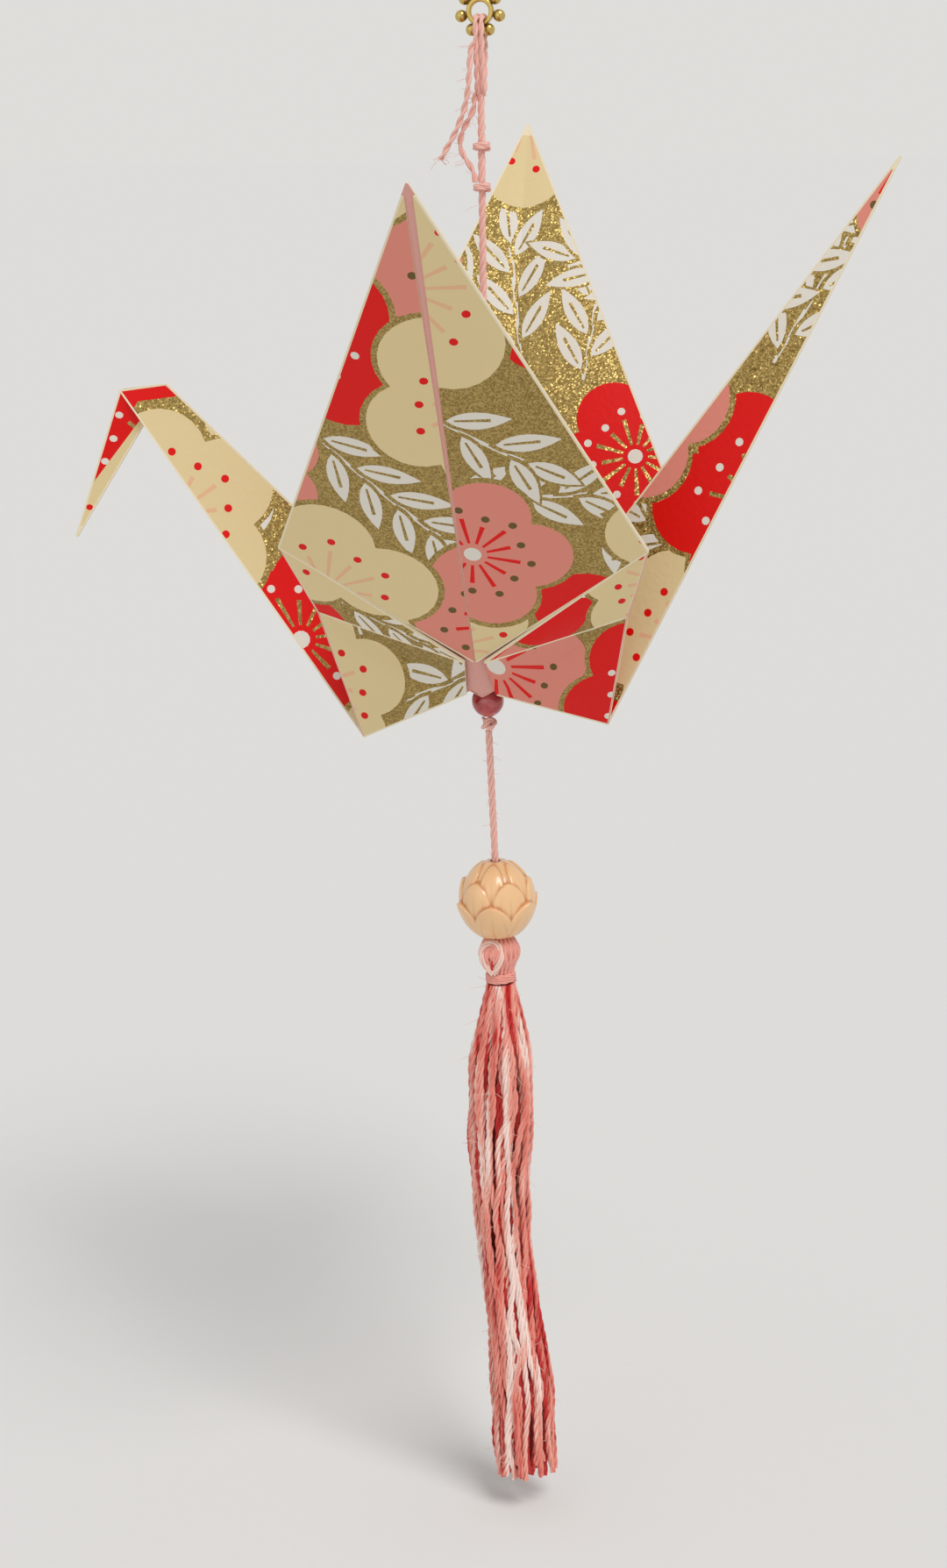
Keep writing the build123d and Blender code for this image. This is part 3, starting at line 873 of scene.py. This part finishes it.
def pink_threads():
    """Loop, ends, knots and the two straight runs of thread."""
    shifts = (-STRAND_PITCH / 2, STRAND_PITCH / 2)
    loops = [spline_path([(shift, y, z) for y, z in LOOP_ROUTE], closed=True) for shift in shifts]
    pink_strand("thread_loop_plies", loops, True, "thread_loop", **THIN_PLIES)
    loose = spline_path((LOOSE_TUCK, *LOOSE_END))
    bowed = spline_path((BOWED_TUCK, *BOWED_END))
    pink_strand("loose_end_plies", [loose], False, "loose_thread_end", **THIN_PLIES)
    pink_strand("bowed_end_plies", [bowed], False, "bowed_thread_end", **THIN_PLIES)
    for name, bottom in (("upper_tie_knot", UPPER_TIE), ("lower_tie_knot", LOWER_TIE)):
        turns = turns_path(upright, TIE_WIDTH / 2 - WOUND_INSET, WOUND_INSET - bottom,
                           TIE_HEIGHT - 2 * WOUND_INSET, 2)
        pink_strand(name + "_plies", [turns], False, name, **WOUND_PLIES)
    knot = overhand_path(drop, KNOT_WIDTH / 2 - STRAND / 2, KNOT_INSET - KNOT_HEIGHT,
                         KNOT_HEIGHT - 2 * KNOT_INSET)
    pink_strand("bead_knot_plies", [knot], True, "bead_knot", **THIN_PLIES)
    main_heights = (thread_top, (thread_top + thread_end) / 2, thread_end)
    main_path = spline_path([(0, 0, z) for z in main_heights])
    main = pink_strand("hanging_thread_plies", [main_path], False, "hanging_thread", **THREAD_PLIES)
    drop_heights = (-KNOT_HEIGHT, -KNOT_HEIGHT - DROP_LENGTH, flower_z)
    drop_path = spline_path([drop @ Vector((0, 0, z)) for z in drop_heights])
    pink_strand("drop_thread_plies", [drop_path], False, "drop_thread", **DROP_PLIES)
    generator = random.Random(11)
    open_threads = [loose, bowed, main_path[:len(main_path) // 2], drop_path]
    fibres = stray_fibres(open_threads, generator, **THREAD_FIBRES)
    fibres += stray_fibres([loose[-2:]], generator, **END_FIBRES)
    piece = plied_thread("thread_fibres", fibres, False, PINK_THREAD, **FIBRE)


pink_threads()


# Carved lotus bead
RINGS_ROUND = 252
RINGS_HIGH = 120
PETAL_RIM = 0.3             # width of a petal's rounded rim
PETAL_STEP = 0.12           # height of that rim
VEINS = (-0.55, 0.0, 0.55)  # across a petal, as parts of its half width
VEIN_WIDTH = 0.16
VEIN_DEPTH = 0.09
# Hollows are measured on the relief, and the resin is painted darker there as shade
HOLLOW_REACH = 5            # grid points each way that a hollow is measured against
HOLLOW_DEPTH = 0.13
SHARP_CARVING = 60.0        # degrees, past which an edge is shaded sharp


def bead_body(height):
    """Radius of the bead under its petals: an arc through its foot, widest part and mouth."""
    foot = (FLOWER_BASE, 0)
    belly = (FLOWER_BODY, 0.45 * FLOWER_HEIGHT)
    mouth = (FLOWER_MOUTH, FLOWER_HEIGHT)
    chords = np.array([belly, mouth]) - np.array(foot)
    halves = (np.sum(np.square([belly, mouth]), axis=1) - np.sum(np.square(foot))) / 2
    middle = np.linalg.solve(chords, halves)
    radius = math.hypot(foot[0] - middle[0], foot[1] - middle[1])
    return middle[0] + np.sqrt(radius**2 - (height - middle[1]) ** 2)


def petal_relief(angle, height, body):
    """Lift of the carved surface over the body: tiers of cupped petals with grooves."""
    relief = np.zeros_like(height)
    step = 2 * math.pi / PETAL_COUNT
    for tier, (widest, width, length, lift) in enumerate(PETAL_TIERS):
        start = math.radians(PETAL_TURN) + tier * step / 2
        across = (np.mod(angle - start + step / 2, step) - step / 2) * body
        up = np.clip((height - widest) / length, -1, 1)
        half = width / 2 * (1 - np.abs(up) ** 2.1) ** 0.62
        edge = np.clip((half - np.abs(across)) / PETAL_RIM, 0, 1)
        rounded = np.sqrt(edge * (2 - edge))
        share = across / np.maximum(half, 0.05)
        cupped = (0.62 + 0.38 * np.clip(up, -0.5, 1)) * (1 - 0.30 * share**2)
        groove = sum(np.exp(-(((share - vein) * half / VEIN_WIDTH) ** 2)) for vein in VEINS)
        groove = groove * np.clip(0.7 - up, 0, 1)
        flare = 0.45 * lift * np.clip(up, 0, 1) ** 3
        petal = rounded * (lift * cupped + flare + PETAL_STEP - VEIN_DEPTH * groove * edge)
        relief = np.maximum(relief, petal)
    return relief


def hollows(relief):
    """How deep each point lies among its neighbours, from 0 to 1; the resin is painted darker by it, as
    shade.
    """
    window = 2 * HOLLOW_REACH + 1
    near = sum(np.roll(relief, k - HOLLOW_REACH, axis=1) for k in range(window)) / window
    padded = np.pad(near, ((HOLLOW_REACH, HOLLOW_REACH), (0, 0)), mode="edge")
    near = sum(padded[k:k + len(relief)] for k in range(window)) / window
    return np.clip((near - relief) / HOLLOW_DEPTH, 0, 1)


def lotus_bead():
    """The carved bead as a grid of points round its axis, closed through its bore."""
    angle, height = np.meshgrid(np.arange(RINGS_ROUND) * 2 * math.pi / RINGS_ROUND,
                                np.linspace(0, FLOWER_HEIGHT, RINGS_HIGH))
    body = bead_body(height)
    relief = petal_relief(angle, height, body)
    # how deep each point lies, for the shade painted into the hollows
    depth = hollows(relief)
    bore = np.full((1, RINGS_ROUND), BEAD_BORE / 2)
    radius = np.vstack([bore, body + relief, bore])
    height = np.vstack([height[:1], height, height[-1:]])
    angle = np.vstack([angle[:1], angle, angle[:1]])
    depth = np.vstack([bore * 0 + 1, depth, bore * 0 + 1])
    points = np.stack([radius * np.cos(angle), radius * np.sin(angle), height], axis=-1).reshape(-1, 3)
    place = drop @ Matrix.Translation((0, 0, flower_z))
    rows = len(radius)
    faces = []
    for row in range(rows):
        low, high = row * RINGS_ROUND, (row + 1) % rows * RINGS_ROUND
        for i in range(RINGS_ROUND):
            j = (i + 1) % RINGS_ROUND
            faces.append((low + i, low + j, high + j, high + i))
    piece = mesh_object("lotus_bead", [place @ Vector(p) for p in points], faces, [carved_resin()])
    piece.data.set_sharp_from_angle(angle=math.radians(SHARP_CARVING))
    attribute = piece.data.attributes.new("hollow_shade", "FLOAT", "POINT")
    attribute.data.foreach_set("value", depth.ravel().astype(np.float32))
    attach(piece, "root")
    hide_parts("flower_bead")


def carved_resin():
    """Polished peach resin, painted darker in the hollows of the carving as shade."""
    material, tree, shader = finish_shader("carved_resin", 0.3, Subsurface_Weight=0.2,
                                           Subsurface_Scale=0.0008, Coat_Weight=0.5, Coat_Roughness=0.08)
    hollow_shade = tree.nodes.new("ShaderNodeAttribute")
    hollow_shade.attribute_name = "hollow_shade"
    # painted shade: the colour goes from the peach of the petals to a darker brown with depth in the hollows
    colour_by(tree, shader, hollow_shade.outputs["Fac"], ((0.0, srgb(243, 196, 144)), (1.0, srgb(212, 142, 88))))
    return material


lotus_bead()


# Tassel
SKIRT_PLIES = plies(3, 0.00019, 0.00022, 200.0, 0.0006)
HEAD_PLIES = plies(3, 0.00021, 0.00021, 150.0, 0.0004)
LOOP_PLIES = plies(4, 0.00019, 0.00024, 120.0, 0.0004)
OUTER_RINGS = ((1.0, 28), (0.82, 19))  # share of the skirt's radius, number of strands
CORE_RINGS = ((0.80, 22), (0.5, 12))
SKIRT_STEPS = 14
HEAD_LOOP_POINTS = 24


def variegated_floss():
    """Floss dyed in long runs of red, pink and near white."""
    material, tree, shader = finish_shader("variegated_floss", 0.6, Sheen_Weight=0.3, Sheen_Roughness=0.4)
    dye = texture(tree, "ShaderNodeTexNoise", 1.0, 1.5, stretch=(620, 620, 34))
    colour_by(tree, shader, dye["Fac"], ((0.38, srgb(196, 30, 26)), (0.43, srgb(228, 124, 108)),
                                         (0.55, srgb(240, 160, 142)), (0.64, srgb(250, 222, 212))))
    return material


VARIEGATED_FLOSS = variegated_floss()


def tassel_strands(name, paths, node, finish, **sizes):
    """Strands of floss that stand for one solid of the tassel, or a part of it."""
    piece = plied_thread(name, paths, False, finish, **sizes)
    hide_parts(node)


def strand_path(points, steps=12):
    """A rounded strand through its points, by a Catmull-Rom curve."""
    points = [Vector(p) for p in points]
    points = [2 * points[0] - points[1]] + points + [2 * points[-1] - points[-2]]
    path = []
    for a, b, c, d in zip(points, points[1:], points[2:], points[3:]):
        for i in range(steps):
            t = i / steps
            path.append(0.5 * ((2 * b) + (c - a) * t + (2 * a - 5 * b + 4 * c - d) * t**2
                               + (3 * b - a - 3 * c + d) * t**3))
    return path + [points[-2]]


def skirt_paths(rings, generator):
    """Strands of the skirt, spread from the band and hanging in loose waves to uneven ends."""
    top = flower_z - HEAD_HEIGHT - BAND_HEIGHT
    given = np.linspace(0, 1, len(SKIRT_WIDTHS))
    down = np.linspace(0, 1, SKIRT_STEPS)
    widths = np.interp(down, given, SKIRT_WIDTHS)
    sways = np.interp(down, given, SKIRT_SWAYS)
    strands = []
    for share, count in rings:
        for i in range(count):
            angle = 2 * math.pi * (i + generator.uniform(-0.25, 0.25)) / count
            drift = generator.uniform(-SKIRT_DRIFT, SKIRT_DRIFT)
            end = 1 - generator.uniform(0, SKIRT_UNEVEN)
            points = []
            for t, width, middle in zip(down, widths, sways):
                radius = (width / 2 - WOUND_INSET) * share * generator.uniform(0.9, 1.06)
                turn = angle + drift * t + generator.uniform(-0.18, 0.18)
                points.append(drop @ Vector((middle + radius * math.cos(turn), radius * math.sin(turn),
                                             top - SKIRT_LENGTH * end * t)))
            strands.append(strand_path(points, 5))
    return strands


def head_paths():
    """Strands of the head: folded over the top, bulging, and drawn in under the band."""
    strands = []
    for i in range(HEAD_STRANDS):
        points = []
        for down, share in HEAD_SHAPE:
            radius = HEAD_WIDTH / 2 * share
            turn = 2 * math.pi * i / HEAD_STRANDS + HEAD_TWIST * down
            height = flower_z - HEAD_INSET - (HEAD_HEIGHT - HEAD_INSET) * down
            points.append(drop @ Vector((radius * math.cos(turn), radius * math.sin(turn), height)))
        strands.append(strand_path(points))
    return strands


def drop_shaped_path(width, height, across, front, foot):
    """A strand laid in a loop on the front of the head, its ends drawn down to a point."""
    path = []
    for i in range(HEAD_LOOP_POINTS + 1):
        t = 2 * math.pi * i / HEAD_LOOP_POINTS
        rise = (1 - math.cos(t)) / 2
        path.append(drop @ Vector((across + width / 2 * 1.3 * math.sin(t) * math.sin(t / 2),
                                   front - 0.5 * math.sin(math.pi * rise), flower_z - foot + height * rise)))
    return path


def tassel():
    """Skirt with its red core and loose fibres, looped head and band."""
    strands = skirt_paths(OUTER_RINGS, random.Random(7))
    tassel_strands("skirt_strands", strands, "tassel_skirt", VARIEGATED_FLOSS, **SKIRT_PLIES)
    core = skirt_paths(CORE_RINGS, random.Random(8))
    tassel_strands("skirt_core", core, "tassel_skirt", RED_FLOSS, **SKIRT_PLIES)
    fibres = stray_fibres(strands, random.Random(5), **SKIRT_FIBRES)
    tassel_strands("skirt_fibres", fibres, "tassel_skirt", PALE_FLOSS, **FIBRE)
    tassel_strands("head_strands", head_paths(), "tassel_head", SALMON_FLOSS, **HEAD_PLIES)
    loop = drop_shaped_path(*HEAD_LOOP)
    tassel_strands("head_loop", [loop], "tassel_head", PALE_FLOSS, **LOOP_PLIES)
    folds = [drop_shaped_path(*fold) for fold in HEAD_FOLDS]
    tassel_strands("head_folds", folds, "tassel_head", SALMON_FLOSS, **HEAD_PLIES)
    below = Vector((0, 0, flower_z))
    heart = [drop @ (below + HEART_TOP.lerp(HEART_FOOT, t)) for t in QUARTERS]
    tassel_strands("head_heart", [heart], "tassel_head", RED_FLOSS, **HEAD_PLIES)
    band_foot = flower_z - HEAD_HEIGHT - BAND_HEIGHT
    band = turns_path(drop, BAND_WIDTH / 2 - WOUND_INSET, band_foot + WOUND_INSET,
                      BAND_HEIGHT - 2 * WOUND_INSET, 3)
    tassel_strands("band_turns", [band], "tassel_band", SALMON_FLOSS, **WOUND_PLIES)


tassel()


def patinated_brass():
    """Brass that has darkened between the balls of the ring."""
    material, tree, shader = finish_shader("patinated_brass", 0.26, Metallic=1.0)
    place = tree.nodes.new("ShaderNodeTexCoord").outputs["Object"]
    in_plane = vector_math(tree, "MULTIPLY", place, (250, 0, 250))[0]
    from_middle = vector_math(tree, "LENGTH", in_plane)["Value"]
    brass = srgb(206, 178, 104)
    colour_by(tree, shader, from_middle, ((0.40, brass), (0.44, srgb(84, 64, 28)), (0.50, brass)))
    return material


def mottled_glass():
    """Glossy crimson bead with cloudy paler patches."""
    material, tree, shader = finish_shader("crimson_glass", 0.1, Coat_Weight=0.6, Coat_Roughness=0.04)
    cloud = texture(tree, "ShaderNodeTexNoise", 700, 3)
    colour_by(tree, shader, cloud["Fac"], ((0.35, srgb(164, 32, 44)), (0.72, srgb(214, 104, 104))))
    return material


def paint_nodes():
    """Finishes of the two pieces whose solids are shown as they are."""
    for name, finish in (("hang_ring", patinated_brass()), ("red_bead", mottled_glass())):
        for material_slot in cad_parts[name].material_slots:
            material_slot.material = finish


paint_nodes()


# Floor, light and camera
WORLD_LIGHT = 0.5
BACKDROP = (0.732, 0.725, 0.705, 1)
# Lights as (name, place that the light comes from, spread in degrees, strength)
LIGHTS = (("key_light", (0.45, -0.55, 1.0), 25, 1.5), ("fill_light", (-0.5, -1.0, 0.15), 60, 0.35))
FLOOR_COLOUR = (0.8, 0.79, 0.77, 1)
FLOOR_SIZE = 12.0           # metres each way from the middle
FLOOR_GAP = 0.004           # metres below the tassel


def pale_floor():
    height = cad_box[0][2] - FLOOR_GAP
    corners = [(x * FLOOR_SIZE, y * FLOOR_SIZE, height) for x, y in ((-1, -1), (1, -1), (1, 1), (-1, 1))]
    mesh = bpy.data.meshes.new("pale_floor")
    mesh.from_pydata(corners, [], [(0, 1, 2, 3)])
    mesh.materials.append(finish_shader("pale_floor", 0.9, FLOOR_COLOUR, Specular_IOR_Level=0.0)[0])
    placed("pale_floor", mesh)


def soft_sun(name, place, spread, strength):
    """A wide, even light that shines from the given place towards the ornament."""
    lamp = bpy.data.lights.new(name, "SUN")
    lamp.angle = math.radians(spread)
    lamp.energy = strength
    placed(name, lamp).rotation_euler = (-Vector(place)).to_track_quat("-Z", "Y").to_euler()


def pale_world():
    """Even light all round; the camera and reflections see the pale backdrop."""
    world = bpy.data.worlds.new("pale_world")
    bpy.context.scene.world = world
    world.use_nodes = True
    tree = world.node_tree
    light = tree.nodes["Background"]
    light.inputs["Color"].default_value = (1, 1, 1, 1)
    light.inputs["Strength"].default_value = WORLD_LIGHT
    backdrop = tree.nodes.new("ShaderNodeBackground")
    backdrop.inputs["Color"].default_value = BACKDROP
    rays = tree.nodes.new("ShaderNodeLightPath")
    seen = tree.nodes.new("ShaderNodeMath")
    seen.use_clamp = True
    seen_all = tree.nodes.new("ShaderNodeMath")
    seen_all.use_clamp = True
    mix = tree.nodes.new("ShaderNodeMixShader")
    tree.links.new(rays.outputs["Is Camera Ray"], seen.inputs[0])
    tree.links.new(rays.outputs["Is Glossy Ray"], seen.inputs[1])
    tree.links.new(seen.outputs[0], seen_all.inputs[0])
    tree.links.new(rays.outputs["Is Transmission Ray"], seen_all.inputs[1])
    tree.links.new(seen_all.outputs[0], mix.inputs["Fac"])
    tree.links.new(light.outputs["Background"], mix.inputs[1])
    tree.links.new(backdrop.outputs["Background"], mix.inputs[2])
    tree.links.new(mix.outputs["Shader"], tree.nodes["World Output"].inputs["Surface"])


def photo_camera():
    azimuth, elevation, roll = (math.radians(a) for a in (CAMERA_AZIMUTH, CAMERA_ELEVATION, CAMERA_ROLL))
    forward = Vector((-math.sin(azimuth) * math.cos(elevation), math.cos(azimuth) * math.cos(elevation),
                      -math.sin(elevation)))
    level = Vector((math.cos(azimuth), math.sin(azimuth), 0))
    above = level.cross(forward)
    right = math.cos(roll) * level + math.sin(roll) * above
    up = math.cos(roll) * above - math.sin(roll) * level
    place = -(right * CAMERA_RIGHT + up * CAMERA_UP + forward * CAMERA_DISTANCE) * MM
    lens = bpy.data.cameras.new("photo_camera")
    lens.sensor_fit = "VERTICAL"
    lens.sensor_height = 36.0
    lens.lens = lens.sensor_height * FOCAL_PIXELS / IMAGE_HEIGHT
    lens.clip_start = 0.01
    camera = placed("photo_camera", lens)
    turn = Matrix((right, up, -forward)).transposed().to_4x4()
    camera.matrix_world = Matrix.Translation(place) @ turn
    bpy.context.scene.camera = camera


pale_floor()
pale_world()
for light in LIGHTS:
    soft_sun(*light)
photo_camera()
bpy.context.scene.view_settings.view_transform = "Standard"
